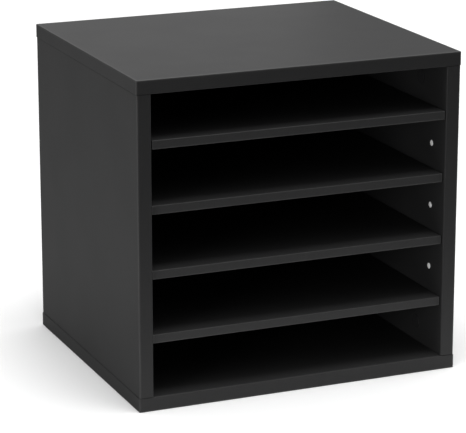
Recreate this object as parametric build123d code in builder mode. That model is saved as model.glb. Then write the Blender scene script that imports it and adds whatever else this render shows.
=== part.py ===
"""Desktop literature organizer: a black laminate carcass with five open compartments and loose shelves.

Millimetres, +Z up. The origin is under the middle of the bottom panel, and the open front faces -Y.
"""

from build123d import *
import os

# Boards
panel_thickness = 16.0
shelf_thickness = 10.0
back_thickness = 3.0
overall_depth = 335.0
opening_width = 356.5
top_compartment_height = 51.5
compartment_height = 63.5
bottom_compartment_height = 61.0
shelf_count = 4
panel_overhang = 0.75

# Edge bands
edging_thickness = 1.0
edging_radius = 0.8

# Loose shelves: play at the ends and in depth, and how far each sits back, from the top one down
shelf_end_gap = 1.5
shelf_slack = 5.5
shelf_setbacks = (1.5, 4.0, 4.0, 4.0)

# Back panel, held in a groove of all four boards
back_inset = 8.0
groove_depth = 6.0
groove_clearance = 0.1
back_play = 0.3

# Shelf-pin holes in the sides, and the spare ones a step below those of all shelves but the lowest
hole_radius = 2.5
hole_depth = 9.0
hole_setback = 34.0
hole_clearance = 0.05
spare_hole_drop = 32.0

# Shelf pins: a peg in the hole, a flange on the wall and a flat seat under the shelf
pin_peg_length = 8.0
pin_flange_radius = 5.0
pin_flange_thickness = 1.2
pin_seat_width = 8.0
pin_seat_reach = 10.0
pin_seat_thickness = 1.8
pin_seat_corner = 2.5
pin_rib_thickness = 2.0

# Caps in the spare holes
cap_radius = 3.5
cap_rim = 0.4
cap_rise = 0.8
cap_peg_length = 6.0

# Corner joints: places of the cams and dowels along the depth, and of the cam axis from the board's end
cam_inset = 64.0
cam_distance = 24.0
dowel_inset = 100.0
joint_clearance = 0.1

# Cam lock: a drum with an off-centre chamber for the bolt's head and a slot for its neck
cam_radius = 7.4
cam_length = 12.5
cam_chamber_radius = 6.2
cam_chamber_width = 7.2
cam_eccentricity = 0.4
cam_slot_width = 4.6
cam_slot_start = 60.0
cam_slot_sweep = 170.0
cam_recess_length = 7.0
cam_recess_width = 1.6
cam_recess_depth = 2.2
cam_edge = 0.4

# Cover cap on each cam
cover_radius = 8.5
cover_thickness = 1.0
cover_stub_depth = 1.8

# Cam bolt: thread in the top or bottom panel, shank in the side panel, head in the cam
bolt_thread_radius = 3.0
bolt_thread_length = 10.5
bolt_collar_radius = 3.9
bolt_collar_height = 2.0
bolt_shank_radius = 3.0
bolt_neck_radius = 2.0
bolt_head_radius = 3.3
bolt_head_shoulder = 0.8
bolt_head_height = 2.6
bolt_head_gap = 0.5

# Dowels
dowel_radius = 4.0
dowel_length = 30.0
dowel_in_panel = 10.0
dowel_chamfer = 0.8

# Cuts start this far outside the piece
overrun = 1.0

# Sizes that follow from the ones above
side_height = (
    top_compartment_height
    + (shelf_count - 1) * compartment_height
    + bottom_compartment_height
    + shelf_count * shelf_thickness
)
overall_height = side_height + 2 * panel_thickness
overall_width = opening_width + 2 * (panel_thickness + panel_overhang)
core_width = overall_width - 2 * edging_thickness
core_depth = overall_depth - 2 * edging_thickness
side_top = panel_thickness + side_height
side_middle = -(opening_width + panel_thickness) / 2
front = -overall_depth / 2

groove_width = back_thickness + 2 * groove_clearance
groove_centre = overall_depth / 2 - back_inset - groove_width / 2
back_front = groove_centre - back_thickness / 2
shelf_length = opening_width - 2 * shelf_end_gap
shelf_depth = back_front - front - shelf_slack

shelf_pitch = compartment_height + shelf_thickness
spare_rows = shelf_count - 1
lowest_hole = panel_thickness + bottom_compartment_height - hole_radius
pin_grid_height = lowest_hole + (shelf_count - 1) * shelf_pitch / 2
spare_grid_height = pin_grid_height + shelf_pitch / 2 - spare_hole_drop
hole_columns = (front + hole_setback, back_front - hole_setback)
column_spacing = hole_columns[1] - hole_columns[0]
column_middle = (hole_columns[0] + hole_columns[1]) / 2

cam_reach = overall_depth - 2 * cam_inset
dowel_reach = overall_depth - 2 * dowel_inset
head_seat = cam_chamber_radius - cam_eccentricity - bolt_head_gap

# Workplanes. On the left wall local x runs to the back and local y up, and its normal looks inwards
left_wall = Plane(origin=(-opening_width / 2, 0, 0), x_dir=(0, 1, 0), z_dir=(1, 0, 0))
pin_grid = left_wall.moved(Location((column_middle, pin_grid_height, 0)))
spare_grid = left_wall.moved(Location((column_middle, spare_grid_height, 0)))
cam_grid = left_wall.moved(Location((0, overall_height / 2, 0)))
upper_joint = Plane(origin=(side_middle, 0, side_top))
lower_joint = Plane(origin=(side_middle, 0, panel_thickness), x_dir=(1, 0, 0), z_dir=(0, 0, -1))
panel_underside = Plane(origin=(0, 0, side_top), x_dir=(1, 0, 0), z_dir=(0, 0, -1))
mid_height = Plane.XY.offset(overall_height / 2)

os.makedirs("parts", exist_ok=True)


def save(builder, name):
    """Label a finished piece and write it under its node's name."""
    builder.part.label = name
    export_step(builder.part, "parts/" + name + ".step")


# Left side panel: back groove, pin and spare holes, cam bores, and bolt and dowel holes in both ends
with BuildPart() as left_side_panel:
    with BuildSketch(Plane.XY.offset(panel_thickness)):
        with Locations((side_middle, 0)):
            Rectangle(panel_thickness, core_depth)
        with Locations((-opening_width / 2 - groove_depth, groove_centre)):
            Rectangle(
                groove_depth + overrun,
                groove_width,
                align=(Align.MIN, Align.CENTER),
                mode=Mode.SUBTRACT,
            )
    extrude(amount=side_height)
    with Locations(pin_grid):
        with GridLocations(column_spacing, shelf_pitch, len(hole_columns), shelf_count):
            Hole(hole_radius, hole_depth)
    with Locations(spare_grid):
        with GridLocations(column_spacing, shelf_pitch, len(hole_columns), spare_rows):
            Hole(hole_radius, hole_depth)
    with Locations(cam_grid):
        with GridLocations(cam_reach, side_height - 2 * cam_distance, 2, 2):
            Hole(cam_radius + joint_clearance, cam_length + joint_clearance)
    with Locations(upper_joint, lower_joint):
        with GridLocations(0, cam_reach, 1, 2):
            Hole(bolt_collar_radius + joint_clearance, cam_distance)
        with GridLocations(0, dowel_reach, 1, 2):
            Hole(dowel_radius + joint_clearance, dowel_length - dowel_in_panel + joint_clearance)
save(left_side_panel, "left_side_panel")

with BuildPart() as right_side_panel:
    mirror(left_side_panel.part, about=Plane.YZ)
save(right_side_panel, "right_side_panel")

# Top panel: back groove and the bolt and dowel holes in its underside
with BuildPart() as top_panel:
    with BuildSketch(Plane.XY.offset(side_top)):
        Rectangle(core_width, core_depth)
    extrude(amount=panel_thickness)
    with BuildSketch(Plane.XY.offset(side_top - overrun)):
        with Locations((0, groove_centre)):
            Rectangle(core_width, groove_width)
    extrude(amount=groove_depth + overrun, mode=Mode.SUBTRACT)
    with Locations(panel_underside):
        with GridLocations(2 * side_middle, cam_reach, 2, 2):
            Hole(bolt_thread_radius + joint_clearance, bolt_thread_length + joint_clearance)
        with GridLocations(2 * side_middle, dowel_reach, 2, 2):
            Hole(dowel_radius + joint_clearance, dowel_in_panel + joint_clearance)
save(top_panel, "top_panel")

with BuildPart() as bottom_panel:
    mirror(top_panel.part, about=mid_height)
save(bottom_panel, "bottom_panel")

# Back panel, loose in the grooves
with BuildPart() as back_panel:
    with BuildSketch(Plane.XY.offset(panel_thickness - groove_depth + back_play)):
        with Locations((0, groove_centre)):
            Rectangle(opening_width + 2 * (groove_depth - back_play), back_thickness)
    extrude(amount=side_height + 2 * (groove_depth - back_play))
save(back_panel, "back_panel")

# Edge bands of the top and bottom panels: front and rear strips lap the ends of the two side strips
for name, panel_base in (("top_edging", side_top), ("bottom_edging", 0)):
    with BuildPart() as panel_edging:
        with BuildSketch(Plane.XY.offset(panel_base)):
            Rectangle(overall_width, overall_depth)
        extrude(amount=panel_thickness)
        fillet(panel_edging.edges(), edging_radius)
        with BuildSketch(Plane.XY.offset(panel_base - overrun)):
            Rectangle(core_width, core_depth)
        extrude(amount=panel_thickness + 2 * overrun, mode=Mode.SUBTRACT)
        split(bisect_by=Plane.XZ.offset(core_depth / 2), keep=Keep.BOTH)
        split(bisect_by=Plane.XZ.offset(-core_depth / 2), keep=Keep.BOTH)
    save(panel_edging, name)

# Edge bands of the left side: the front and rear strips of a rounded outline round the board
with BuildPart() as left_edging:
    with BuildSketch(Plane.XY.offset(panel_thickness)):
        with Locations((side_middle, 0)):
            RectangleRounded(panel_thickness, overall_depth, edging_radius)
            Rectangle(panel_thickness, core_depth, mode=Mode.SUBTRACT)
    extrude(amount=side_height)
save(left_edging, "left_edging")

with BuildPart() as right_edging:
    mirror(left_edging.part, about=Plane.YZ)
save(right_edging, "right_edging")

# Shelf pin, made on the wall plane: peg into the hole, seat level with the top of the hole
with BuildPart() as shelf_pin:
    with BuildSketch():
        Circle(hole_radius - hole_clearance)
    extrude(amount=-pin_peg_length)
    with BuildSketch():
        Circle(pin_flange_radius)
        with Locations((0, hole_radius)):
            Rectangle(
                2 * pin_flange_radius,
                pin_flange_radius,
                align=(Align.CENTER, Align.MIN),
                mode=Mode.SUBTRACT,
            )
    extrude(amount=pin_flange_thickness)
    seat_plane = Plane(origin=(0, hole_radius, 0), x_dir=(-1, 0, 0), z_dir=(0, 1, 0))
    with BuildSketch(seat_plane) as seat:
        Rectangle(pin_seat_width, pin_seat_reach, align=(Align.CENTER, Align.MIN))
        fillet(seat.vertices().group_by(Axis.Y)[-1], pin_seat_corner)
    extrude(amount=-pin_seat_thickness)
    with BuildSketch(Plane.YZ) as rib:
        with BuildLine():
            Polyline(
                (hole_radius - pin_seat_thickness, 0),
                (hole_radius - pin_seat_thickness, pin_seat_reach - pin_seat_corner),
                (hole_radius - pin_flange_radius, pin_flange_thickness),
                (hole_radius - pin_flange_radius, 0),
                close=True,
            )
        make_face()
    extrude(amount=pin_rib_thickness / 2, both=True)

# Loose shelves, each with its front band and the four pins under it, numbered from the top
for number, setback in enumerate(shelf_setbacks, 1):
    shelf_bottom = lowest_hole + hole_radius + (shelf_count - number) * shelf_pitch
    shelf_front = front + setback
    with BuildPart() as shelf_board:
        with BuildSketch(Plane.XY.offset(shelf_bottom)):
            with Locations((0, shelf_front + edging_thickness)):
                Rectangle(
                    shelf_length,
                    shelf_depth - edging_thickness,
                    align=(Align.CENTER, Align.MIN),
                )
        extrude(amount=shelf_thickness)
    save(shelf_board, f"shelf_{number}_board")
    with BuildPart() as shelf_edging:
        with BuildSketch(Plane.YZ) as band:
            with Locations((shelf_front, shelf_bottom)):
                Rectangle(edging_thickness, shelf_thickness, align=(Align.MIN, Align.MIN))
            fillet(band.vertices().group_by(Axis.X)[0], edging_radius)
        extrude(amount=shelf_length / 2, both=True)
    save(shelf_edging, f"shelf_{number}_edging")
    with BuildPart() as shelf_pins:
        with Locations(left_wall):
            with Locations(*[(column, shelf_bottom - hole_radius) for column in hole_columns]):
                add(shelf_pin.part)
        mirror(about=Plane.YZ)
    save(shelf_pins, f"shelf_{number}_pins")

# Hole cap, made on the wall plane: a rim with a low dome and a peg
with BuildPart() as hole_cap:
    with BuildSketch(Plane.XZ):
        with BuildLine():
            Polyline(
                (0, cap_rim + cap_rise),
                (0, -cap_peg_length),
                (hole_radius - hole_clearance, -cap_peg_length),
                (hole_radius - hole_clearance, 0),
                (cap_radius, 0),
                (cap_radius, cap_rim),
            )
            TangentArc((0, cap_rim + cap_rise), (cap_radius, cap_rim), tangent=(1, 0))
        make_face()
    revolve(axis=Axis.Z)

with BuildPart() as left_hole_caps:
    with Locations(spare_grid):
        with GridLocations(column_spacing, shelf_pitch, len(hole_columns), spare_rows):
            add(hole_cap.part)
save(left_hole_caps, "left_hole_caps")

with BuildPart() as right_hole_caps:
    mirror(left_hole_caps.part, about=Plane.YZ)
save(right_hole_caps, "right_hole_caps")

# Cam lock, made on the wall plane with its bolt coming from above (+Y): the slot leads the bolt's neck
# from the entry hole round to there, and the off-centre chamber draws its head inwards on the way
bolt_depth = panel_thickness / 2
entry_angle = cam_slot_start + cam_slot_sweep
with BuildPart() as cam_lock:
    with BuildSketch():
        Circle(cam_radius)
    extrude(amount=-cam_length)
    chamfer(cam_lock.edges().filter_by(GeomType.CIRCLE), cam_edge)
    with BuildSketch(Plane.XY.offset(-bolt_depth - cam_chamber_width / 2)):
        with Locations((0, -cam_eccentricity)):
            Circle(cam_chamber_radius)
    extrude(amount=cam_chamber_width, mode=Mode.SUBTRACT)
    with BuildSketch(Plane.XZ.rotated((0, 0, cam_slot_start))):
        with Locations((cam_chamber_radius / 2, -bolt_depth)):
            Rectangle(cam_radius, cam_slot_width, align=(Align.MIN, Align.CENTER))
    revolve(axis=Axis.Z, revolution_arc=cam_slot_sweep, mode=Mode.SUBTRACT)
    with BuildSketch(Plane.YZ.rotated((0, 0, entry_angle))):
        with Locations((0, -bolt_depth)):
            Circle(bolt_head_radius + joint_clearance)
    extrude(amount=cam_radius + overrun, mode=Mode.SUBTRACT)
    with BuildSketch():
        Rectangle(cam_recess_length, cam_recess_width)
        Rectangle(cam_recess_width, cam_recess_length)
    extrude(amount=-cam_recess_depth, mode=Mode.SUBTRACT)

with BuildPart() as cam_locks:
    with Locations(left_wall):
        with Locations((-cam_reach / 2, side_top - cam_distance), (cam_reach / 2, side_top - cam_distance)):
            add(cam_lock.part)
    mirror(about=mid_height)
    mirror(about=Plane.YZ)
save(cam_locks, "cam_locks")

# Cover cap, made on the wall plane: a thin disc whose cross-shaped stub sits in the cam's recess
with BuildPart() as cam_cover:
    with BuildSketch():
        Circle(cover_radius)
    extrude(amount=cover_thickness)
    fillet(cam_cover.edges().group_by(Axis.Z)[-1], cover_thickness / 2)
    with BuildSketch():
        Rectangle(cam_recess_length - 2 * joint_clearance, cam_recess_width - 2 * joint_clearance)
        Rectangle(cam_recess_width - 2 * joint_clearance, cam_recess_length - 2 * joint_clearance)
    extrude(amount=-cover_stub_depth)

with BuildPart() as cam_covers:
    with Locations(left_wall):
        with Locations((-cam_reach / 2, side_top - cam_distance), (cam_reach / 2, side_top - cam_distance)):
            add(cam_cover.part)
    mirror(about=mid_height)
    mirror(about=Plane.YZ)
save(cam_covers, "cam_covers")

# Cam bolt, made on the joint plane: thread up into the panel, head down in the cam
head_top = head_seat - cam_distance
with BuildPart() as cam_bolt:
    with BuildSketch(Plane.XZ):
        with BuildLine():
            Polyline(
                (0, bolt_thread_length),
                (bolt_thread_radius, bolt_thread_length),
                (bolt_thread_radius, 0),
                (bolt_collar_radius, 0),
                (bolt_collar_radius, -bolt_collar_height),
                (bolt_shank_radius, -bolt_collar_height),
                (bolt_shank_radius, cam_radius + joint_clearance - cam_distance),
                (bolt_neck_radius, cam_radius + joint_clearance - cam_distance),
                (bolt_neck_radius, head_top),
                (bolt_head_radius, head_top - bolt_head_shoulder),
                (bolt_head_radius, head_top - bolt_head_height),
                (bolt_neck_radius, head_top - bolt_head_height - bolt_head_shoulder),
                (0, head_top - bolt_head_height - bolt_head_shoulder),
                close=True,
            )
        make_face()
    revolve(axis=Axis.Z)

with BuildPart() as cam_bolts:
    with Locations(upper_joint):
        with GridLocations(0, cam_reach, 1, 2):
            add(cam_bolt.part)
    mirror(about=mid_height)
    mirror(about=Plane.YZ)
save(cam_bolts, "cam_bolts")

# Dowel, made on the joint plane: its shorter end in the panel
with BuildPart() as dowel:
    with BuildSketch(Plane.XY.offset(dowel_in_panel)):
        Circle(dowel_radius)
    extrude(amount=-dowel_length)
    chamfer(dowel.edges().filter_by(GeomType.CIRCLE), dowel_chamfer)

with BuildPart() as dowels:
    with Locations(upper_joint):
        with GridLocations(0, dowel_reach, 1, 2):
            add(dowel.part)
    mirror(about=mid_height)
    mirror(about=Plane.YZ)
save(dowels, "dowels")
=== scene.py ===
"""Looks of a desktop literature organizer: finishes, small fittings, studio floor, light and camera.

Metres, +Z up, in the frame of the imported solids. The open front faces -Y.
"""

import functools
import math

import bmesh
import bpy
from bpy.props import FloatProperty, FloatVectorProperty, IntProperty, PointerProperty
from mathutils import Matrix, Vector


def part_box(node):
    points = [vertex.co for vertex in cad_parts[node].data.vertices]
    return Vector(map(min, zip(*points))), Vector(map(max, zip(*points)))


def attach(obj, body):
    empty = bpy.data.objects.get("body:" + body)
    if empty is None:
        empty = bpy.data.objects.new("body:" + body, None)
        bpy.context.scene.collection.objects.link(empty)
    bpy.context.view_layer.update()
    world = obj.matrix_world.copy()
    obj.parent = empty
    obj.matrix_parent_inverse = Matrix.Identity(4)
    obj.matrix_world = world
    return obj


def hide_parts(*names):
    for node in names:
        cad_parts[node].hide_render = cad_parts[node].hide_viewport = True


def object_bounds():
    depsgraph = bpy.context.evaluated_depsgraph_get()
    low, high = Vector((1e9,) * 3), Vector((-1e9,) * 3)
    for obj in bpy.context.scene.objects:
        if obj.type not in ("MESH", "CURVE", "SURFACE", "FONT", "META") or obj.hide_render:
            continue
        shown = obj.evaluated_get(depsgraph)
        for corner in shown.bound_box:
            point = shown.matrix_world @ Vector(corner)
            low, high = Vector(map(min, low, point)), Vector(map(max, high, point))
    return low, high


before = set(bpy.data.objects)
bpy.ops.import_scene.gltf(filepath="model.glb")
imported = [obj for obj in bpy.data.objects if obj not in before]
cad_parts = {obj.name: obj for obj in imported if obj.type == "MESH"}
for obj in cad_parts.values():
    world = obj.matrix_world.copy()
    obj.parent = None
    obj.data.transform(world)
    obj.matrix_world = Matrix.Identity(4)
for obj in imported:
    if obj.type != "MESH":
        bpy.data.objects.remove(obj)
cad_low, cad_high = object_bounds()

bl_info = {
    "name": "Literature Organizer Finishes",
    "version": (1, 0, 0),
    "blender": (4, 5, 0),
    "location": "3D View > Sidebar > Organizer",
    "description": "Finishes, fittings and studio for a laminate literature organizer",
    "category": "Object",
}

MILLIMETRE = 0.001
MERGE_DISTANCE = 0.001 * MILLIMETRE
QUARTER_TURN = math.pi / 2
CARCASS = "carcass"
SHELF_NUMBERS = (1, 2, 3, 4)

X_AXIS = (1.0, 0.0, 0.0)
Z_AXIS = (0.0, 0.0, 1.0)
NO_AXIS = (0.0, 0.0, 0.0)
ALL_AXES = (1.0, 1.0, 1.0)
LEVEL_AXES = (1.0, 1.0, 0.0)
LEFTWARDS = (-1.0, 0.0, 0.0)
DOWNWARDS = (0.0, 0.0, -1.0)

BLACK = (0.0, 0.0, 0.0)
WHITE = (1.0, 1.0, 1.0)

# Ranges of a mask: all of it, all of it upside down, and where most of a noise lies.
WHOLE = (0.0, 1.0)
FALLING = (1.0, 0.0)
NOISE = (0.3, 0.7)

# A skin thicker than any board, so that no core shows.
NO_CORE = 1.0


def setting(kind, **options):
    """A way to declare settings of one kind, each by its name, description and default."""

    def declare(name, description, default):
        return kind(name=name, description=description, default=default, **options)

    return declare


Colour = setting(FloatVectorProperty, subtype="COLOR", size=3, min=0.0, max=1.0)
Place = setting(FloatVectorProperty, subtype="TRANSLATION", unit="LENGTH", size=3)
Span = setting(FloatVectorProperty, unit="LENGTH", size=2, min=0.0)
Length = setting(FloatProperty, unit="LENGTH", min=0.0, precision=5)
Share = setting(FloatProperty, subtype="FACTOR", min=0.0, max=1.0)
Strength = setting(FloatProperty, min=0.0)
Angle = setting(FloatProperty, unit="ROTATION")
Lens = setting(FloatProperty, unit="CAMERA")
Count = setting(IntProperty, min=1)


class OrganizerBoardFinish(bpy.types.PropertyGroup):
    """Finish of the laminate boards, their edge bands and the thin back."""

    laminate: Colour("Laminate", "Black melamine face of the boards", (0.0175, 0.0175, 0.0178))
    band: Colour("Edge Band", "Plastic band on the board edges", (0.0175, 0.0175, 0.0178))
    # Painted light: lighter than the other bands, standing in for light bounced onto the shelf fronts.
    lightened_shelf_band: Colour("Lightened Shelf Band", "Plastic band on the shelf fronts", (0.0228, 0.0228, 0.0231))
    # Painted highlight and wear: this greyer colour along the edges stands in for the edge highlight as
    # well as for rubbing; the grain's flecks and the streaks take it too.
    rubbed: Colour("Rubbed Edge", "Greyer line where hands rub the edges", (0.055, 0.055, 0.055))
    back: Colour("Back Board", "Lacquered face of the thin back", (0.0165, 0.0165, 0.0168))
    seam: Colour("Seam", "Shadow and dust in the line where two boards meet", (0.004, 0.004, 0.004))
    chip_light: Colour("Chip, Light", "Pale chips of the particle core", (0.47, 0.33, 0.19))
    chip_dark: Colour("Chip, Dark", "Dark chips and resin of the particle core", (0.16, 0.095, 0.05))
    laminate_roughness: Share("Laminate Roughness", "Roughness of the satin face", 0.46)
    band_roughness: Share("Band Roughness", "Roughness of the edge band", 0.46)
    dull_roughness: Share("Dull Roughness", "Roughness of the bare core and the seams", 0.85)
    gloss: Share("Gloss", "Specular level of the laminate, the bands and the back", 0.27)
    grain_size: Length("Grain Size", "Size of the pearl texture pressed into the laminate", 0.0007)
    grain_depth: Length("Grain Depth", "Height of the pearl texture", 0.00002)
    streak_size: Length("Streak Size", "Width of the streaks along the edge bands", 0.0006)
    fibre_size: Length("Fibre Size", "Width of the fibres in the thin back", 0.0009)
    skin: Length("Skin", "Thickness of the laminate over the core", 0.00035)
    chip_size: Length("Chip Size", "Size of the chips in the core", 0.0016)
    # Rub width, wear and least wear set the greyer line of painted highlight and wear along the edges.
    rub_width: Length("Rub Width", "Width of the rubbed line along an edge", 0.0024)
    seam_width: Length("Seam Width", "Width of the dark line where two boards meet", 0.0012)
    wear: Share("Wear", "How far the rubbed line takes over from the finish", 0.7)
    least_wear: Share("Least Wear", "Share of the wear that every rubbed line shows", 0.6)
    fleck: Share("Fleck", "How far the grain and the fibres turn to the rubbed colour", 0.1)
    streak: Share("Streak", "How far the streaks turn to the rubbed colour", 0.07)


class OrganizerFittingFinish(bpy.types.PropertyGroup):
    """Finish of the metal, plastic and wooden fittings."""

    nickel: Colour("Nickel", "Plating of the shelf pins", (0.66, 0.63, 0.58))
    zinc: Colour("Zinc", "Cast metal of the cams", (0.46, 0.46, 0.47))
    plating: Colour("Plating", "Bright plating of the cam bolts", (0.68, 0.69, 0.71))
    cap: Colour("Hole Cap", "White plastic of the caps in spare holes", (0.93, 0.93, 0.92))
    cover: Colour("Cam Cover", "Black plastic of the covers on the cams", (0.016, 0.016, 0.0165))
    beech_light: Colour("Beech, Light", "Early wood of the dowels", (0.58, 0.40, 0.24))
    beech_dark: Colour("Beech, Dark", "Late wood and flecks of the dowels", (0.38, 0.23, 0.12))


class OrganizerFittingSizes(bpy.types.PropertyGroup):
    """Sizes of the fittings that are made here."""

    cap_radius: Length("Cap Radius", "Radius of a hole cap's rim", 0.0035)
    cap_rim: Length("Cap Rim", "Straight height of a hole cap's rim", 0.0004)
    cap_proud: Length("Cap Height", "How far a hole cap stands off the wall", 0.0012)
    cap_shoulder: Share("Cap Shoulder", "Share of a cap's radius where its dome bends", 0.72)
    cap_dome: Share("Cap Dome", "Share of a cap's height where its dome bends", 0.8)
    cap_rounding: Share("Cap Rounding", "Rounding of a cap's bends as a share of its rim", 0.8)
    peg_radius: Length("Peg Radius", "Radius of a cap's peg", 0.00245)
    cap_columns: Count("Cap Columns", "Hole columns in one side", 2)
    cap_rows: Count("Cap Rows", "Spare holes in one column", 3)
    softening: Length("Softening", "Rounding of the edges of pins, cams and covers", 0.0002)
    dowel_radius: Length("Dowel Radius", "Radius over the ribs of a dowel", 0.004)
    dowel_length: Length("Dowel Length", "Length of a dowel", 0.03)
    dowel_chamfer: Length("Dowel Chamfer", "Bevel on the ends of a dowel", 0.0008)
    dowel_ribs: Count("Dowel Ribs", "Ribs round a dowel", 18)
    rib_depth: Length("Rib Depth", "Depth of the grooves between a dowel's ribs", 0.00028)
    thread_radius: Length("Thread Radius", "Radius over the thread of a cam bolt", 0.003)
    thread_length: Length("Thread Length", "Length of a cam bolt's thread", 0.0105)
    thread_pitch: Length("Thread Pitch", "Rise of the thread in one turn", 0.00175)
    thread_depth: Length("Thread Depth", "Depth of the thread's groove", 0.00055)
    collar_radius: Length("Collar Radius", "Radius of a cam bolt's collar", 0.0039)
    collar_height: Length("Collar Height", "Height of a cam bolt's collar", 0.002)
    shank_end: Length("Shank End", "From the joint to the end of a cam bolt's thick shank", 0.0165)
    neck_radius: Length("Neck Radius", "Radius of a cam bolt's neck", 0.002)
    head_seat: Length("Head Seat", "From the joint to the shoulder of a cam bolt's head", 0.0187)
    head_radius: Length("Head Radius", "Radius of a cam bolt's head", 0.0033)
    head_height: Length("Head Height", "From a head's shoulder to its lower rim", 0.0026)
    head_slope: Length("Head Slope", "Height of the slopes above and below a head", 0.0008)


class OrganizerStudio(bpy.types.PropertyGroup):
    """Camera, light and floor."""

    camera_azimuth: Angle("Azimuth", "Turn of the camera round the object", math.radians(-22.92))
    camera_elevation: Angle("Elevation", "Height angle of the camera", math.radians(15.89))
    camera_distance: Length("Distance", "From the camera to its target", 2.632)
    camera_target: Place("Target", "Point in the middle of the picture", (-0.0832, -0.1675, 0.2132))
    camera_lens: Lens("Lens", "Focal length", 185.4)
    floor: Colour("Floor", "Pale studio floor near the object", (0.86, 0.86, 0.86))
    floor_radius: Length("Floor Radius", "How far the floor reaches", 14.0)
    floor_gap: Length("Floor Gap", "From the floor to the bottom panel", 0.0002)
    fade_start: Length("Fade Start", "Distance from which the floor fades to white", 0.9)
    fade_end: Length("Fade End", "Distance from which the floor is plain white", 2.0)
    side_bounce: Share("Side Bounce", "Light that the floor beside and behind gives back", 0.365)
    front_bounce: Share("Front Bounce", "Light that the floor close in front gives back", 0.903)
    front_reach: Length("Front Reach", "Depth of the bright strip of floor in front", 0.7)
    sky: Strength("Sky", "Soft light from straight above", 1.624)
    back_wall: Strength("Back Wall", "Soft light from behind the object", 0.045)
    right_wall: Strength("Right Wall", "Soft light from the object's right", 0.586)
    wall_lift: Strength("Wall Lift", "How far the light from the walls comes from above", 0.3)
    key: Strength("Key", "Power of the soft box overhead", 43.15)
    key_place: Place("Key Place", "Middle of the soft box overhead", (0.0, -0.6, 2.8))
    key_span: Span("Key Span", "Size of the soft box overhead", (1.2, 1.2))
    side: Strength("Side", "Power of the low soft box at the left, for the inner walls", 22.08)
    side_place: Place("Side Place", "Middle of the soft box at the left", (-2.2, -1.2, 0.4))
    side_span: Span("Side Span", "Size of the soft box at the left", (1.0, 0.6))
    rim: Strength("Rim", "Power of the low soft box close behind the object", 0.284)
    rim_place: Place("Rim Place", "Middle of the soft box behind", (0.1, 0.75, 0.6))
    rim_span: Span("Rim Span", "Size of the soft box behind", (0.7, 0.4))
    rim_aim: Place("Rim Aim", "Point that the soft box behind looks at", (0.1, 0.0, cad_high.z))


def new_object(name, data):
    """A new object in the scene."""
    made = bpy.data.objects.new(name, data)
    bpy.context.scene.collection.objects.link(made)
    return made


def add_node(tree, kind, inputs=None, **settings):
    """Add a node. Inputs maps socket names or numbers to values, or to the sockets that feed them."""
    node = tree.nodes.new(kind)
    for name, value in settings.items():
        setattr(node, name, value)
    for key, value in (inputs or {}).items():
        if isinstance(value, bpy.types.NodeSocket):
            tree.links.new(value, node.inputs[key])
        else:
            node.inputs[key].default_value = value
    return node


def first_output(tree, kind, inputs=None, **settings):
    """Add a node and take its first output."""
    return add_node(tree, kind, inputs, **settings).outputs[0]


def geometry(tree, kind, inputs=None, **settings):
    """Add a geometry node and take its first output."""
    return first_output(tree, "GeometryNode" + kind, inputs, **settings)


def tree_of(*values):
    """The tree of the first socket among some values."""
    return next(value.id_data for value in values if isinstance(value, bpy.types.NodeSocket))


def join(socket, target):
    """Let one socket feed another."""
    target.id_data.links.new(socket, target)


def calculate(operation, first, second=0.0):
    """The result of one sum on two numbers, at least one of them a socket."""
    inputs = {0: first, 1: second}
    return first_output(tree_of(first, second), "ShaderNodeMath", inputs, operation=operation)


plus, minus, times, over, smaller, larger, above = (
    functools.partial(calculate, operation)
    for operation in ("ADD", "SUBTRACT", "MULTIPLY", "DIVIDE", "MINIMUM", "MAXIMUM", "GREATER_THAN")
)


def vector_node(operation, first, second=NO_AXIS):
    """A sum on two vectors, at least one of them a socket."""
    inputs = {0: first, 1: second}
    return add_node(tree_of(first, second), "ShaderNodeVectorMath", inputs, operation=operation)


def calculate_vector(operation, first, second=NO_AXIS):
    """The vector that a sum on two vectors gives."""
    return vector_node(operation, first, second).outputs["Vector"]


def along(vector, axis):
    """How far a vector reaches along an axis."""
    return vector_node("DOT_PRODUCT", vector, axis).outputs["Value"]


def reach(vector):
    """The length of a vector."""
    return vector_node("LENGTH", vector).outputs["Value"]


def map_range(value, source, target=WHOLE, smooth=False):
    """Map a value from one range to another."""
    inputs = {"Value": value}
    inputs["From Min"], inputs["From Max"] = source
    inputs["To Min"], inputs["To Max"] = target
    kind = "SMOOTHSTEP" if smooth else "LINEAR"
    return first_output(tree_of(value), "ShaderNodeMapRange", inputs, interpolation_type=kind)


def noise(place, size, detail):
    """A noise whose features have a given size in metres."""
    inputs = {"Vector": place, "Scale": over(1.0, size), "Detail": detail}
    return first_output(tree_of(place), "ShaderNodeTexNoise", inputs)


def opaque(colour):
    """A colour with its alpha; a socket stays as it is."""
    return colour if isinstance(colour, bpy.types.NodeSocket) else (*colour, 1.0)


def mix_colours(mask, first, second):
    """Mix two colours or colour sockets by a mask."""
    # A Mix node keeps its colours in sockets 6 and 7, and their mixture in output 2.
    inputs = {0: mask, 6: opaque(first), 7: opaque(second)}
    return add_node(tree_of(mask), "ShaderNodeMix", inputs, data_type="RGBA").outputs[2]


def surface_place(tree):
    """Where a point of the surface is, in the object's own frame."""
    return add_node(tree, "ShaderNodeTexCoord").outputs["Object"]


def socket_kind(value):
    """The kind of socket that takes a value; a word names the kind itself."""
    if isinstance(value, str):
        return "NodeSocket" + value
    if isinstance(value, bpy.types.Material):
        return "NodeSocketMaterial"
    if isinstance(value, int):
        return "NodeSocketInt"
    if isinstance(value, float):
        return "NodeSocketFloat"
    return "NodeSocketVector" if len(value) == 3 else "NodeSocketColor"


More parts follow.
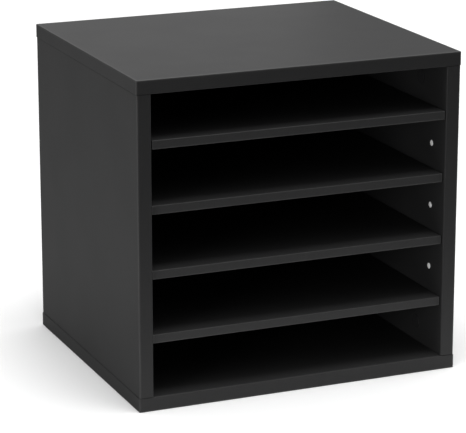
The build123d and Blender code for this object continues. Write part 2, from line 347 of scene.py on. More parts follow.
def new_group(name, kind, inputs, outputs):
    """A node group with named sockets; each input has a default, or a word for its kind."""
    group = bpy.data.node_groups.new(name, kind)
    for label, value in inputs.items():
        socket = group.interface.new_socket(label, in_out="INPUT", socket_type=socket_kind(value))
        if not isinstance(value, str):
            socket.default_value = value
    for label, word in outputs.items():
        group.interface.new_socket(label, in_out="OUTPUT", socket_type=socket_kind(word))
    return group, group.nodes.new("NodeGroupInput").outputs, group.nodes.new("NodeGroupOutput").inputs


def shared(build):
    """Build a node group once, named after the function that builds it, and find it again later."""
    name = build.__name__.replace("_", " ").title()

    @functools.wraps(build)
    def find():
        return bpy.data.node_groups.get(name) or build(name)

    return find


@shared
def pearl_grain(name):
    """The fine pressed texture of a surface, and broad faint patches left by handling."""
    inputs = {"Grain Size": 1 * MILLIMETRE, "Patch Size": 80 * MILLIMETRE, "Stretch": ALL_AXES}
    group, given, made = new_group(name, "ShaderNodeTree", inputs, {"Height": "Float", "Patch": "Float"})
    place = surface_place(group)
    stretched = calculate_vector("MULTIPLY", place, given["Stretch"])
    patch = noise(place, given["Patch Size"], detail=3.0)
    join(noise(stretched, given["Grain Size"], detail=1.5), made["Height"])
    join(map_range(patch, NOISE, smooth=True), made["Patch"])
    return group


@shared
def board_layers(name):
    """Masks for a board's particle core, its edges, where painted highlight and rubbing go, and the seams
    where its ends butt, where painted shade and dust go.
    """
    corners = {"Low": NO_AXIS, "High": ALL_AXES}
    axes = {"Thin Axis": Z_AXIS, "Butt Axis": NO_AXIS}
    widths = {"Skin": NO_CORE, "Rub Width": 1 * MILLIMETRE, "Seam Width": 1 * MILLIMETRE}
    masks = {"Core": "Float", "Edge": "Float", "Seam": "Float"}
    group, given, made = new_group(name, "ShaderNodeTree", {**corners, **axes, **widths}, masks)
    place = surface_place(group)
    above_low = calculate_vector("SUBTRACT", place, given["Low"])
    below_high = calculate_vector("SUBTRACT", given["High"], place)
    inside = calculate_vector("MINIMUM", above_low, below_high)
    butted = along(ALL_AXES, given["Butt Axis"])
    from_joint = along(inside, given["Butt Axis"])
    # Seam mask: painted shade and dust in the line where the board's ends butt.
    close = map_range(from_joint, (0.0, given["Seam Width"]), FALLING, smooth=True)
    free = calculate_vector("ADD", inside, given["Butt Axis"])
    x, y, z = add_node(group, "ShaderNodeSeparateXYZ", {0: free}).outputs
    second_least = larger(smaller(x, y), smaller(larger(x, y), z))
    # Edge mask: where the painted highlight and the rubbing go, along the free edges.
    worn_and_highlit = map_range(second_least, (0.0, given["Rub Width"]), FALLING, smooth=True)
    join(above(along(inside, given["Thin Axis"]), given["Skin"]), made["Core"])
    join(worn_and_highlit, made["Edge"])
    join(times(close, butted), made["Seam"])
    return group


@shared
def chipboard(name):
    """The pressed wood chips of a raw board core."""
    inputs = {"Chip Size": 1 * MILLIMETRE, "Light": opaque(WHITE), "Dark": opaque(BLACK)}
    group, given, made = new_group(name, "ShaderNodeTree", inputs, {"Color": "Color"})
    flattened = (1.0, 1.0, 2.2)
    place = calculate_vector("MULTIPLY", surface_place(group), flattened)
    chips = {"Vector": place, "Scale": over(1.0, given["Chip Size"])}
    cells = add_node(group, "ShaderNodeTexVoronoi", chips).outputs["Color"]
    tone = first_output(group, "ShaderNodeSeparateColor", {0: cells})
    fibre = noise(place, given["Chip Size"], detail=4.0)
    blend = times(plus(tone, fibre), 0.5)
    join(mix_colours(blend, given["Dark"], given["Light"]), made["Color"])
    return group


def place_group(tree, group, **values):
    """Place a shared group in a material, with its own values; underscores in names stand for spaces."""
    inputs = {name.replace("_", " "): value for name, value in values.items()}
    return add_node(tree, "ShaderNodeGroup", inputs, node_tree=group).outputs


def place_layers(tree, finish, low, high, **values):
    """The masks of a board or band that lies between two corners."""
    widths = {"Rub_Width": finish.rub_width, "Seam_Width": finish.seam_width}
    return place_group(tree, board_layers(), Low=low, High=high, **widths, **values)


def new_material(name):
    """A material with its shader; returns the material, its node tree and the shader's inputs."""
    material = bpy.data.materials.new(name)
    material.use_nodes = True
    tree = material.node_tree
    shader = next(node for node in tree.nodes if node.type == "BSDF_PRINCIPLED")
    return material, tree, shader.inputs


def textured_material(name, **sizes):
    """A new material, its node tree and its shader's inputs, with a pearl grain of its own sizes."""
    material, tree, shader = new_material(name)
    return material, tree, shader, place_group(tree, pearl_grain(), **sizes)


def patchy(texture, least, most):
    """A value that the broad patches of a texture take from least to most."""
    return map_range(texture["Patch"], WHOLE, (least, most))


def rub_and_highlight_mask(finish, texture, layers, wear):
    """How far the greyer colour of painted highlight and rubbing shows along the edges, more where hands
    left patches.
    """
    return times(layers["Edge"], patchy(texture, finish.least_wear * wear, wear))


def satin_roughness(finish, texture, roughness, bare):
    """A satin sheen that the patches vary a little, and a dull one where a mask is set."""
    spread = 0.01
    sheen = patchy(texture, roughness - spread, roughness + spread)
    return larger(sheen, times(bare, finish.dull_roughness))


def two_tone(texture, colour, shade, share):
    """A colour with patches that go part of the way to a darker shade of it."""
    darker = tuple(shade * channel for channel in colour)
    return mix_colours(patchy(texture, 0.0, share), colour, darker)


def cover(tree, shader, texture, colour, roughness, relief, gloss=0.5):
    """Join a colour, a roughness and a grain raised by a relief in metres to a shader."""
    raised = {"Strength": 1.0, "Distance": relief, "Height": texture["Height"]}
    join(colour, shader["Base Color"])
    join(roughness, shader["Roughness"])
    join(first_output(tree, "ShaderNodeBump", raised), shader["Normal"])
    shader["Specular IOR Level"].default_value = gloss


def laminate_material(finish, node_name, thin_axis, butt_axis=NO_AXIS, wear=0.0, skin=NO_CORE):
    """Satin black melamine on a particle core; the board's ends along butt_axis meet other boards."""
    material, tree, shader, grain = textured_material(
        "laminate_" + node_name, Grain_Size=finish.grain_size, Patch_Size=70 * MILLIMETRE
    )
    low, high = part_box(node_name)
    layers = place_layers(tree, finish, low, high, Thin_Axis=thin_axis, Butt_Axis=butt_axis, Skin=skin)
    chip_colours = {"Light": opaque(finish.chip_light), "Dark": opaque(finish.chip_dark)}
    chips = place_group(tree, chipboard(), Chip_Size=finish.chip_size, **chip_colours)
    raised_grain = (0.35, 0.75)
    fleck = map_range(grain["Height"], raised_grain, (0.0, finish.fleck), smooth=True)
    face = mix_colours(fleck, finish.laminate, finish.rubbed)
    # Painted highlight and wear: the greyer colour along the edges.
    worn_and_highlit = mix_colours(rub_and_highlight_mask(finish, grain, layers, wear), face, finish.rubbed)
    # Painted shade and dust in the joint lines.
    seamed_and_shaded = mix_colours(layers["Seam"], worn_and_highlit, finish.seam)
    colour = mix_colours(layers["Core"], seamed_and_shaded, chips["Color"])
    bare = larger(layers["Core"], layers["Seam"])
    roughness = satin_roughness(finish, grain, finish.laminate_roughness, bare)
    cover(tree, shader, grain, colour, roughness, finish.grain_depth, finish.gloss)
    return material


def edge_band_material(finish, node_name, colour, stretch, butt_axis, sheltered):
    """Extruded plastic band: fine streaks along its length, corners with a painted highlight and rubbing,
    and dark seams of painted shade and dust at its ends.

    Sheltered points to the sides that hands don't reach, because they face a joint or the inside.
    """
    material, tree, shader, streaks = textured_material(
        "band_" + node_name, Grain_Size=finish.streak_size, Patch_Size=50 * MILLIMETRE, Stretch=stretch
    )
    low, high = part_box(node_name)
    size = high - low
    low = Vector(low[i] - size[i] * (sheltered[i] < 0.0) for i in range(3))
    high = Vector(high[i] + size[i] * (sheltered[i] > 0.0) for i in range(3))
    layers = place_layers(tree, finish, low, high, Butt_Axis=butt_axis)
    streak = map_range(streaks["Height"], NOISE, (0.0, finish.streak))
    # Painted highlight and wear along the band's corners, plus the streaks.
    wear = plus(rub_and_highlight_mask(finish, streaks, layers, finish.wear), streak)
    worn_and_highlit = mix_colours(wear, colour, finish.rubbed)
    # Painted shade and dust in the joint lines at the band's ends.
    seamed_and_shaded = mix_colours(layers["Seam"], worn_and_highlit, finish.seam)
    roughness = satin_roughness(finish, streaks, finish.band_roughness, layers["Seam"])
    cover(tree, shader, streaks, seamed_and_shaded, roughness, finish.grain_depth, finish.gloss)
    return material


def back_board_material(finish):
    """Thin fibre board under black lacquer: dull, with faint fibres."""
    upright = (1.0, 1.0, 0.35)
    material, tree, shader, fibres = textured_material(
        "lacquered_back", Grain_Size=finish.fibre_size, Patch_Size=60 * MILLIMETRE, Stretch=upright
    )
    tone = map_range(fibres["Height"], NOISE, (0.0, finish.fleck))
    colour = mix_colours(tone, finish.back, finish.rubbed)
    roughness = patchy(fibres, least=0.5, most=0.58)
    cover(tree, shader, fibres, colour, roughness, 1.5 * finish.grain_depth, finish.gloss)
    return material


def metal_material(name, colour, roughness, grain_size, grain_depth):
    """Plated or cast metal with fine grain and faint tarnish."""
    patch_size = 4 * MILLIMETRE
    material, tree, shader, grain = textured_material(name, Grain_Size=grain_size, Patch_Size=patch_size)
    tarnished = two_tone(grain, colour, shade=0.72, share=0.5)
    sheen = patchy(grain, least=roughness - 0.05, most=roughness + 0.07)
    cover(tree, shader, grain, tarnished, sheen, grain_depth)
    shader["Metallic"].default_value = 1.0
    return material


def moulded_plastic_material(name, colour, roughness, gloss):
    """Moulded plastic with a fine spark-textured face."""
    material, tree, shader, grain = textured_material(
        name, Grain_Size=0.35 * MILLIMETRE, Patch_Size=6 * MILLIMETRE
    )
    mottled = two_tone(grain, colour, shade=0.86, share=0.4)
    sheen = patchy(grain, least=roughness - 0.04, most=roughness + 0.05)
    cover(tree, shader, grain, mottled, sheen, relief=0.01 * MILLIMETRE, gloss=gloss)
    return material


def beech_material(finish):
    """Turned beech: streaks along the dowel and short darker flecks."""
    lengthwise = (1.0, 1.0, 0.06)
    late_wood = (0.35, 0.65)
    material, tree, shader, streaks = textured_material(
        "beech", Grain_Size=0.6 * MILLIMETRE, Patch_Size=3 * MILLIMETRE, Stretch=lengthwise
    )
    tone = map_range(streaks["Height"], late_wood, smooth=True)
    colour = mix_colours(tone, finish.beech_light, finish.beech_dark)
    roughness = patchy(streaks, least=0.55, most=0.7)
    cover(tree, shader, streaks, colour, roughness, relief=0.04 * MILLIMETRE)
    return material


def dress(node_name, material):
    """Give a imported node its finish."""
    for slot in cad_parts[node_name].material_slots:
        slot.material = material


def new_tree(name, values):
    """A geometry tree with an input for each named value; returns the tree, its inputs and its output."""
    tree, given, made = new_group(name, "GeometryNodeTree", values, {"Geometry": "Geometry"})
    return tree, given, made["Geometry"]


@shared
def turned_form(name):
    """Turn a profile, drawn in the XZ plane, round the Z axis into a closed mesh."""
    group, given, output = new_tree(name, {"Profile": "Geometry", "Segments": 32})
    stations = geometry(group, "CurveToPoints", {"Curve": given["Profile"]}, mode="EVALUATED")
    count = geometry(group, "AttributeDomainSize", {0: stations}, component="POINTCLOUD")
    columns = plus(given["Segments"], 1.0)
    grid = geometry(group, "MeshGrid", {"Vertices X": columns, "Vertices Y": count})
    index = geometry(group, "InputIndex")
    place = geometry(group, "InputPosition")
    sample = {"Geometry": stations, "Value": place, "Index": calculate("MODULO", index, count)}
    drawn = geometry(group, "SampleIndex", sample, data_type="FLOAT_VECTOR")
    turn = calculate("FLOOR", over(index, count))
    swing = {"Vector": drawn, "Angle": times(over(turn, given["Segments"]), math.tau)}
    turned = first_output(group, "ShaderNodeVectorRotate", swing, rotation_type="Z_AXIS")
    shaped = geometry(group, "SetPosition", {"Geometry": grid, "Position": turned})
    closed = geometry(group, "MergeByDistance", {"Geometry": shaped, "Distance": MERGE_DISTANCE})
    join(geometry(group, "FlipFaces", {"Mesh": closed}), output)
    return group


def turn_profile(tree, profile, **segments):
    """Turn a profile round the Z axis."""
    return geometry(tree, "Group", {"Profile": profile, **segments}, node_tree=turned_form())


def profile_point(tree, radius, height):
    """The place of a profile's point."""
    return first_output(tree, "ShaderNodeCombineXYZ", {"X": radius, "Z": height})


def corner_switch(number, corners):
    """The place of one corner by its number; corners are pairs of radius and height."""
    tree = tree_of(number)
    switch = add_node(tree, "GeometryNodeIndexSwitch", data_type="VECTOR")
    while len(switch.index_switch_items) < len(corners):
        switch.index_switch_items.new()
    join(number, switch.inputs["Index"])
    for place, corner in enumerate(corners):
        join(profile_point(tree, *corner), switch.inputs[place + 1])
    return switch.outputs[0]


def curve_through(tree, count, place):
    """A curve through a number of points, each at a place that its index gives."""
    points = geometry(tree, "Points", {"Count": count, "Position": place})
    return geometry(tree, "PointsToCurves", {"Points": points})


def draw_profile(tree, corners, rounding, steps):
    """A curve through corners, given as pairs of radius and height, with rounded bends."""
    place = corner_switch(geometry(tree, "InputIndex"), corners)
    curve = curve_through(tree, len(corners), place)
    bends = {"Curve": curve, "Count": steps, "Radius": rounding, "Limit Radius": True}
    return geometry(tree, "FilletCurve", bends, mode="POLY")


def finish_tree(tree, given, shape, output):
    """End a tree: realised instances, smooth faces between sharp edges, and the material."""
    sharp_bend = math.radians(40.0)
    realised = geometry(tree, "RealizeInstances", {"Geometry": shape})
    smooth = geometry(tree, "SetShadeSmooth", {"Geometry": realised})
    bend = add_node(tree, "GeometryNodeInputMeshEdgeAngle").outputs["Unsigned Angle"]
    edges = {"Geometry": smooth, "Selection": above(bend, sharp_bend), "Shade Smooth": False}
    crisp = geometry(tree, "SetShadeSmooth", edges, domain="EDGE")
    join(geometry(tree, "SetMaterial", {"Geometry": crisp, "Material": given["Material"]}), output)
    return tree


def hole_cap_tree(values):
    """Caps turned from one profile, in a grid of rows and columns on a wall."""
    tree, given, output = new_tree("Hole Caps", values)
    radius, proud, peg = given["Cap Radius"], given["Cap Proud"], given["Peg Radius"]
    inner_end = times(given["Peg Length"], -1.0)
    shoulder = (times(radius, given["Cap Shoulder"]), times(proud, given["Cap Dome"]))
    corners = (
        (0.0, proud), shoulder, (radius, given["Cap Rim"]), (radius, 0.0),
        (peg, 0.0), (peg, inner_end), (0.0, inner_end),
    )
    rounding = times(given["Cap Rim"], given["Cap Rounding"])
    cap = turn_profile(tree, draw_profile(tree, corners, rounding, steps=4))
    spacing = {"Size X": given["Column Spacing"], "Size Y": given["Row Spacing"]}
    number = {"Vertices X": given["Cap Columns"], "Vertices Y": given["Cap Rows"]}
    places = geometry(tree, "MeshGrid", {**spacing, **number})
    caps = geometry(tree, "InstanceOnPoints", {"Points": places, "Instance": cap})
    wall = {"Geometry": caps, "Translation": given["Middle"], "Rotation": given["Turn"]}
    return finish_tree(tree, given, geometry(tree, "Transform", wall), output)


def level_place(tree):
    """Each point's place without its height."""
    return calculate_vector("MULTIPLY", geometry(tree, "InputPosition"), LEVEL_AXES)


def move_outwards(tree, shape, change):
    """Move each point of a turned form away from the Z axis by a changing amount."""
    outwards = calculate_vector("NORMALIZE", level_place(tree))
    offset = first_output(tree, "ShaderNodeVectorMath", {0: outwards, "Scale": change}, operation="SCALE")
    return geometry(tree, "SetPosition", {"Geometry": shape, "Offset": offset})


def turn_and_height(tree):
    """The angle round the Z axis and the height of each point."""
    x, y, z = add_node(tree, "ShaderNodeSeparateXYZ", {0: geometry(tree, "InputPosition")}).outputs
    return calculate("ARCTAN2", y, x), z


def at_corner_joints(tree, given, shape):
    """Copies of a fitting at the four upper corner joints, and upside down at the four lower ones."""
    grid = {"Size X": given["Spacing X"], "Size Y": given["Spacing Y"], "Vertices X": 2, "Vertices Y": 2}
    places = geometry(tree, "MeshGrid", grid)
    both = add_node(tree, "GeometryNodeJoinGeometry")
    for joint, turn in (("Upper Joint", 0.0), ("Lower Joint", math.pi)):
        stand = {"Points": places, "Instance": shape, "Rotation": (turn, 0.0, 0.0)}
        copies = geometry(tree, "InstanceOnPoints", stand)
        lift = {"Geometry": copies, "Translation": profile_point(tree, 0.0, given[joint])}
        join(geometry(tree, "Transform", lift), both.inputs[0])
    return both.outputs[0]


def dowel_tree(values):
    """Fluted wooden dowels at the corner joints."""
    tree, given, output = new_tree("Fluted Dowels", values)
    rim, ribs, chamfer = given["Dowel Radius"], given["Dowel Ribs"], given["Dowel Chamfer"]
    upper = given["Upper End"]
    lower = minus(upper, given["Dowel Length"])
    end_radius = minus(rim, chamfer)
    corners = (
        (0.0, upper), (end_radius, upper), (rim, minus(upper, chamfer)),
        (rim, plus(lower, chamfer)), (end_radius, lower), (0.0, lower),
    )
    profile = draw_profile(tree, corners, times(chamfer, 0.5), steps=3)
    points_a_rib = 6.0
    dowel = turn_profile(tree, profile, Segments=times(ribs, points_a_rib))
    wave = calculate("COSINE", times(turn_and_height(tree)[0], ribs))
    depth = times(times(minus(wave, 1.0), 0.5), given["Rib Depth"])
    on_rim = map_range(reach(level_place(tree)), (end_radius, rim))
    fluted = move_outwards(tree, dowel, times(depth, on_rim))
    return finish_tree(tree, given, at_corner_joints(tree, given, fluted), output)


def threaded_profile(tree, radius, length, steps, corners):
    """A curve from the tip's centre, down a finely divided thread, then through the other corners."""
    index = geometry(tree, "InputIndex")
    height = times(length, minus(1.0, over(minus(index, 1.0), steps)))
    off_thread = larger(calculate("LESS_THAN", index, 1.0), above(index, steps + 1.0))
    elsewhere = corner_switch(larger(minus(index, steps + 1.0), 0.0), corners)
    choice = {"Switch": off_thread, "False": profile_point(tree, radius, height), "True": elsewhere}
    place = geometry(tree, "Switch", choice, input_type="VECTOR")
    return curve_through(tree, steps + 1 + len(corners), place)


def cam_bolt_tree(values):
    """Cam bolts at the corner joints: thread into the panel, collar, shank, neck and head."""
    tree, given, output = new_tree("Cam Bolts", values)
    rim, length, pitch = given["Thread Radius"], given["Thread Length"], given["Thread Pitch"]
    collar, neck, head = given["Collar Radius"], given["Neck Radius"], given["Head Radius"]
    collar_end = times(given["Collar Height"], -1.0)
    shank_end = times(given["Shank End"], -1.0)
    seat = times(given["Head Seat"], -1.0)
    rim_end = minus(seat, given["Head Height"])
    head_end = minus(rim_end, given["Head Slope"])
    corners = (
        (0.0, length), (collar, 0.0), (collar, collar_end), (rim, collar_end), (rim, shank_end),
        (neck, shank_end), (neck, seat), (head, minus(seat, given["Head Slope"])), (head, rim_end),
        (neck, head_end), (0.0, head_end),
    )
    bolt = turn_profile(tree, threaded_profile(tree, rim, length, steps=60, corners=corners))
    angle, height = turn_and_height(tree)
    phase = calculate("FRACT", minus(over(height, pitch), over(angle, math.tau)))
    flank = calculate("ABSOLUTE", map_range(phase, WHOLE, (-1.0, 1.0)))
    from_end = smaller(height, minus(length, height))
    root = larger(flank, map_range(from_end, (0.0, times(pitch, 0.5)), FALLING))
    groove = times(root, times(given["Thread Depth"], -1.0))
    above_joint = above(height, 0.01 * MILLIMETRE)
    threaded = move_outwards(tree, bolt, times(groove, above_joint))
    return finish_tree(tree, given, at_corner_joints(tree, given, threaded), output)


def sizes_of(sizes, *parts):
    """Tree inputs from the sizes whose names start with one of some parts."""
    names = [name for name in sizes.bl_rna.properties.keys() if name.split("_")[0] in parts]
    return {name.replace("_", " ").title(): getattr(sizes, name) for name in names}


def joint_values(node_name, radius, upper_end, material):
    """Where a group of corner fittings sits: spacings, the two joint planes, and its material."""
    low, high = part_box(node_name)
    return {
        "Spacing X": high.x - low.x - 2 * radius,
        "Spacing Y": high.y - low.y - 2 * radius,
        "Upper Joint": high.z - upper_end,
        "Lower Joint": low.z + upper_end,
        "Material": material,
    }


def built_piece(name, tree, values):
    """Build a tree's result once and keep it as a plain mesh."""
    start = bpy.data.meshes.new(name + "_start")
    piece = new_object(name, start)
    modifier = piece.modifiers.new("Build", "NODES")
    modifier.node_group = tree
    for item in tree.interface.items_tree:
        if item.in_out == "INPUT":
            modifier[item.identifier] = values[item.name]
    depsgraph = bpy.context.evaluated_depsgraph_get()
    mesh = bpy.data.meshes.new_from_object(piece.evaluated_get(depsgraph), depsgraph=depsgraph)
    piece.modifiers.remove(modifier)
    piece.data = mesh
    bpy.data.meshes.remove(start)
    mesh.name = name
    if not mesh.polygons:
        raise RuntimeError(name + " came out empty")
    return piece


def fit_piece(piece, node_name):
    """A fitting of the carcass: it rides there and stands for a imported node."""
    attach(piece, CARCASS)
    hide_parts(node_name)


def softened_piece(name, node_name, softening, material):
    """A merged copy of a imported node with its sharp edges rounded."""
    flat_bend = math.radians(1.0)
    sharp_bend = math.radians(35.0)
    form = bmesh.new()
    form.from_mesh(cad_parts[node_name].data)
    bmesh.ops.remove_doubles(form, verts=form.verts, dist=MERGE_DISTANCE)
    bmesh.ops.dissolve_limit(form, angle_limit=flat_bend, verts=form.verts, edges=form.edges)
    sharp = [edge for edge in form.edges if edge.is_convex and edge.calc_face_angle(0.0) > sharp_bend]
    bmesh.ops.bevel(
        form, geom=sharp, offset=softening, offset_type="OFFSET", segments=2, profile=0.5, affect="EDGES"
    )
    for face in form.faces:
        face.smooth = True
        face.material_index = 0
    for edge in form.edges:
        edge.smooth = edge.calc_face_angle(0.0) < sharp_bend
    mesh = bpy.data.meshes.new(name)
    form.to_mesh(mesh)
    form.free()
    if "custom_normal" in mesh.attributes:
        mesh.attributes.remove(mesh.attributes["custom_normal"])
    mesh.materials.append(material)
    fit_piece(new_object(name, mesh), node_name)


def camera_ray(tree):
    """A mask of what the camera sees straight."""
    return add_node(tree, "ShaderNodeLightPath").outputs["Is Camera Ray"]


def lay_floor(studio):
    """A pale floor just under the bottom panel; the camera sees it fade to white far away."""
    form = bmesh.new()
    bmesh.ops.create_circle(form, cap_ends=True, radius=studio.floor_radius, segments=96)
    bmesh.ops.translate(form, vec=(0.0, 0.0, cad_low.z - studio.floor_gap), verts=form.verts)
    mesh = bpy.data.meshes.new("studio_floor")
    form.to_mesh(mesh)
    form.free()
    material, tree, shader = new_material("studio_floor")
    seen = camera_ray(tree)
    place = surface_place(tree)
    depth = add_node(tree, "ShaderNodeSeparateXYZ", {0: place}).outputs["Y"]
    front = (cad_low.y - studio.front_reach, cad_low.y)
    strip = map_range(depth, front, (0.0, studio.front_bounce), smooth=True)
    # A Mix node keeps its two numbers in sockets 2 and 3.
    sides = {0: above(depth, cad_low.y), 2: strip, 3: studio.side_bounce}
    share = larger(seen, first_output(tree, "ShaderNodeMix", sides))
    far = map_range(reach(place), (studio.fade_start, studio.fade_end), smooth=True)
    pale = mix_colours(times(far, seen), studio.floor, WHITE)
    join(mix_colours(share, BLACK, pale), shader["Base Color"])
    shader["Roughness"].default_value = 1.0
    shader["Specular IOR Level"].default_value = 0.0
    mesh.materials.append(material)
    new_object("studio_floor", mesh)


def light_world(studio):
    """Soft light from above, behind and the right; the camera sees plain white behind the floor."""
    world = bpy.data.worlds.new("studio")
    world.use_nodes = True
    tree = world.node_tree
    tree.nodes.clear()
    direction = add_node(tree, "ShaderNodeTexCoord").outputs["Generated"]
    walls = {
        Z_AXIS: studio.sky,
        (0.0, 1.0, studio.wall_lift): studio.back_wall,
        (1.0, 0.0, studio.wall_lift): studio.right_wall,
    }
    strength = 0.0
    for axis, power in walls.items():
        facing = larger(along(direction, Vector(axis).normalized()), 0.0)
        strength = plus(strength, times(calculate("POWER", facing, 2.0), power))
    soft, plain = (
        first_output(tree, "ShaderNodeBackground", {"Color": opaque(WHITE), "Strength": value})
        for value in (strength, 1.0)
    )
    mixed = first_output(tree, "ShaderNodeMixShader", {0: camera_ray(tree), 1: soft, 2: plain})
    add_node(tree, "ShaderNodeOutputWorld", {"Surface": mixed})
    bpy.context.scene.world = world


def hang_soft_box(studio, name, aim):
    """A rectangular soft box that looks at a point; the camera doesn't see it."""
    light = bpy.data.lights.new(name + "_box", "AREA")
    light.shape = "RECTANGLE"
    light.size, light.size_y = getattr(studio, name + "_span")
    light.energy = getattr(studio, name)
    box = new_object(name + "_box", light)
    box.location = getattr(studio, name + "_place")
    box.rotation_euler = (aim - box.location).to_track_quat("-Z", "Y").to_euler()
    box.visible_camera = False


def place_camera(studio):
    """A long lens at the photograph's angle."""
    data = bpy.data.cameras.new("photo_camera")
    data.lens = studio.camera_lens
    camera = new_object("photo_camera", data)
    azimuth, elevation = studio.camera_azimuth, studio.camera_elevation
    level = math.cos(elevation)
    back = Vector((math.sin(azimuth) * level, -math.cos(azimuth) * level, math.sin(elevation)))
    camera.location = Vector(studio.camera_target) + back * studio.camera_distance
    camera.rotation_euler = (-back).to_track_quat("-Z", "Y").to_euler()
    bpy.context.scene.camera = camera


class ORGANIZER_OT_dress_boards(bpy.types.Operator):
    """Finish the four carcass boards, the back and the shelves"""

    bl_idname = "organizer.dress_boards"
    bl_label = "Dress Boards"

    def execute(self, context):
        finish = context.scene.organizer_boards
        for name in ("top_panel", "bottom_panel"):
            dress(name, laminate_material(finish, name, Z_AXIS, NO_AXIS, finish.wear, finish.skin))
        for name in ("left_side_panel", "right_side_panel"):
            dress(name, laminate_material(finish, name, X_AXIS, Z_AXIS, finish.wear, finish.skin))
        for number in SHELF_NUMBERS:
            name = f"shelf_{number}_board"
            dress(name, laminate_material(finish, name, Z_AXIS))
        dress("back_panel", back_board_material(finish))
        return {"FINISHED"}


class ORGANIZER_OT_dress_bands(bpy.types.Operator):
    """Finish the edge bands"""

    bl_idname = "organizer.dress_bands"
    bl_label = "Dress Edge Bands"

    def execute(self, context):
        finish = context.scene.organizer_boards
        level = (0.12, 0.12, 1.0)
        upright = (1.0, 1.0, 0.12)
        bands = {
            "top_edging": (finish.band, level, NO_AXIS, DOWNWARDS),
            "bottom_edging": (finish.band, level, NO_AXIS, Z_AXIS),
            "left_edging": (finish.band, upright, Z_AXIS, X_AXIS),
            "right_edging": (finish.band, upright, Z_AXIS, LEFTWARDS),
        }
        for number in SHELF_NUMBERS:
            # The shelf fronts take the lighter band colour, which is painted bounce light.
            bands[f"shelf_{number}_edging"] = (finish.lightened_shelf_band, level, NO_AXIS, Z_AXIS)
        for name, values in bands.items():
            dress(name, edge_band_material(finish, name, *values))
        return {"FINISHED"}


class ORGANIZER_OT_make_shelf_pins(bpy.types.Operator):
    """Make the plated pins that carry the shelves, with softened edges"""

    bl_idname = "organizer.make_shelf_pins"
    bl_label = "Make Shelf Pins"

    def execute(self, context):
        colour = context.scene.organizer_fittings.nickel
        softening = context.scene.organizer_sizes.softening
        nickel = metal_material(
            "nickel_plate", colour, roughness=0.26, grain_size=0.0004, grain_depth=0.000004
        )
        for number in SHELF_NUMBERS:
            shelf = f"shelf_{number}"
            softened_piece(shelf + "_nickel_pins", shelf + "_pins", softening, nickel)
        return {"FINISHED"}


class ORGANIZER_OT_make_cams(bpy.types.Operator):
    """Make the cast cam locks and their black covers, with softened edges"""

    bl_idname = "organizer.make_cams"
    bl_label = "Make Cams and Covers"

    def execute(self, context):
        finish = context.scene.organizer_fittings
        softening = context.scene.organizer_sizes.softening
        zinc = metal_material(
            "cast_zinc", finish.zinc, roughness=0.42, grain_size=0.0003, grain_depth=0.00001
        )
        plastic = moulded_plastic_material("black_plastic", finish.cover, roughness=0.6, gloss=0.2)
        softened_piece("zinc_cams", "cam_locks", softening, zinc)
        softened_piece("black_covers", "cam_covers", softening, plastic)
        return {"FINISHED"}


class ORGANIZER_OT_make_bolts(bpy.types.Operator):
    """Make the threaded cam bolts of the corner joints"""

    bl_idname = "organizer.make_bolts"
    bl_label = "Make Cam Bolts"

    def execute(self, context):
        colour = context.scene.organizer_fittings.plating
        sizes = context.scene.organizer_sizes
        plating = metal_material(
            "bright_plate", colour, roughness=0.28, grain_size=0.0004, grain_depth=0.000004
        )
        values = {
            **sizes_of(sizes, "thread", "collar", "shank", "neck", "head"),
            **joint_values("cam_bolts", sizes.collar_radius, sizes.thread_length, plating),
        }
        fit_piece(built_piece("threaded_bolts", cam_bolt_tree(values), values), "cam_bolts")
        return {"FINISHED"}


class ORGANIZER_OT_make_dowels(bpy.types.Operator):
    """Make the fluted dowels of the corner joints"""

    bl_idname = "organizer.make_dowels"
    bl_label = "Make Dowels"

    def execute(self, context):
        sizes = context.scene.organizer_sizes
        beech = beech_material(context.scene.organizer_fittings)
        upper_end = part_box("dowels")[1].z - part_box("top_panel")[0].z
        values = {
            **sizes_of(sizes, "dowel", "rib"),
            "Upper End": upper_end,
            **joint_values("dowels", sizes.dowel_radius, upper_end, beech),
        }
        fit_piece(built_piece("fluted_dowels", dowel_tree(values), values), "dowels")
        return {"FINISHED"}


class ORGANIZER_OT_make_hole_caps(bpy.types.Operator):
    """Make the white caps in the spare shelf-pin holes of both sides"""

    bl_idname = "organizer.make_hole_caps"
    bl_label = "Make Hole Caps"

    def execute(self, context):
        colour = context.scene.organizer_fittings.cap
        sizes = context.scene.organizer_sizes
        low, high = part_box("left_hole_caps")
        wall = high.x - sizes.cap_proud
        values = {
            **sizes_of(sizes, "cap", "peg"),
            "Peg Length": wall - low.x,
            "Column Spacing": high.y - low.y - 2 * sizes.cap_radius,
            "Row Spacing": high.z - low.z - 2 * sizes.cap_radius,
            "Middle": NO_AXIS,
            "Turn": NO_AXIS,
            "Material": moulded_plastic_material("white_plastic", colour, roughness=0.4, gloss=0.5),
        }
        tree = hole_cap_tree(values)
        for side, mirror in (("left", 1.0), ("right", -1.0)):
            values["Middle"] = (mirror * wall, (low.y + high.y) / 2, (low.z + high.z) / 2)
            values["Turn"] = (QUARTER_TURN, 0.0, mirror * QUARTER_TURN)
            fit_piece(built_piece(side + "_caps", tree, values), side + "_hole_caps")
        return {"FINISHED"}


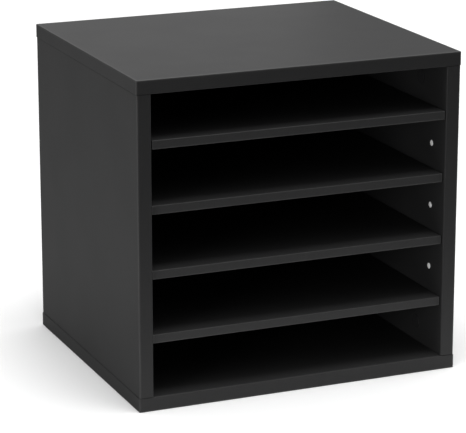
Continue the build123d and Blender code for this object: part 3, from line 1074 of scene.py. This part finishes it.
class ORGANIZER_OT_set_studio(bpy.types.Operator):
    """Lay the floor, set the lights and place the camera"""

    bl_idname = "organizer.set_studio"
    bl_label = "Set Studio"

    def execute(self, context):
        studio = context.scene.organizer_studio
        middle = (cad_low + cad_high) / 2
        lay_floor(studio)
        light_world(studio)
        for name, aim in (("key", middle), ("side", middle), ("rim", Vector(studio.rim_aim))):
            hang_soft_box(studio, name, aim)
        place_camera(studio)
        context.scene.view_settings.view_transform = "Standard"
        return {"FINISHED"}


class ORGANIZER_PT_finishes(bpy.types.Panel):
    """Lists the steps that dress the organizer and its settings"""

    bl_idname = "ORGANIZER_PT_finishes"
    bl_label = "Literature Organizer"
    bl_space_type = "VIEW_3D"
    bl_region_type = "UI"
    bl_category = "Organizer"

    def draw(self, context):
        for step in STEPS:
            self.layout.operator(step.bl_idname)
        for name in SETTINGS:
            settings = getattr(context.scene, name)
            box = self.layout.box()
            for key in settings.bl_rna.properties.keys():
                if key not in ("rna_type", "name"):
                    box.prop(settings, key)


STEPS = (
    ORGANIZER_OT_dress_boards,
    ORGANIZER_OT_dress_bands,
    ORGANIZER_OT_make_hole_caps,
    ORGANIZER_OT_make_shelf_pins,
    ORGANIZER_OT_make_cams,
    ORGANIZER_OT_make_bolts,
    ORGANIZER_OT_make_dowels,
    ORGANIZER_OT_set_studio,
)
SETTINGS = {
    "organizer_boards": OrganizerBoardFinish,
    "organizer_fittings": OrganizerFittingFinish,
    "organizer_sizes": OrganizerFittingSizes,
    "organizer_studio": OrganizerStudio,
}


def register():
    """Register the settings, the steps and the panel."""
    for name, group in SETTINGS.items():
        bpy.utils.register_class(group)
        setattr(bpy.types.Scene, name, PointerProperty(type=group))
    for step in STEPS:
        bpy.utils.register_class(step)
    bpy.utils.register_class(ORGANIZER_PT_finishes)


def unregister():
    """Take everything out again, in the opposite order."""
    bpy.utils.unregister_class(ORGANIZER_PT_finishes)
    for step in reversed(STEPS):
        bpy.utils.unregister_class(step)
    for name, group in reversed(SETTINGS.items()):
        delattr(bpy.types.Scene, name)
        bpy.utils.unregister_class(group)


def main():
    """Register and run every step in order."""
    register()
    bpy.ops.organizer.dress_boards()
    bpy.ops.organizer.dress_bands()
    bpy.ops.organizer.make_hole_caps()
    bpy.ops.organizer.make_shelf_pins()
    bpy.ops.organizer.make_cams()
    bpy.ops.organizer.make_bolts()
    bpy.ops.organizer.make_dowels()
    bpy.ops.organizer.set_studio()


if __name__ == "__main__":
    main()
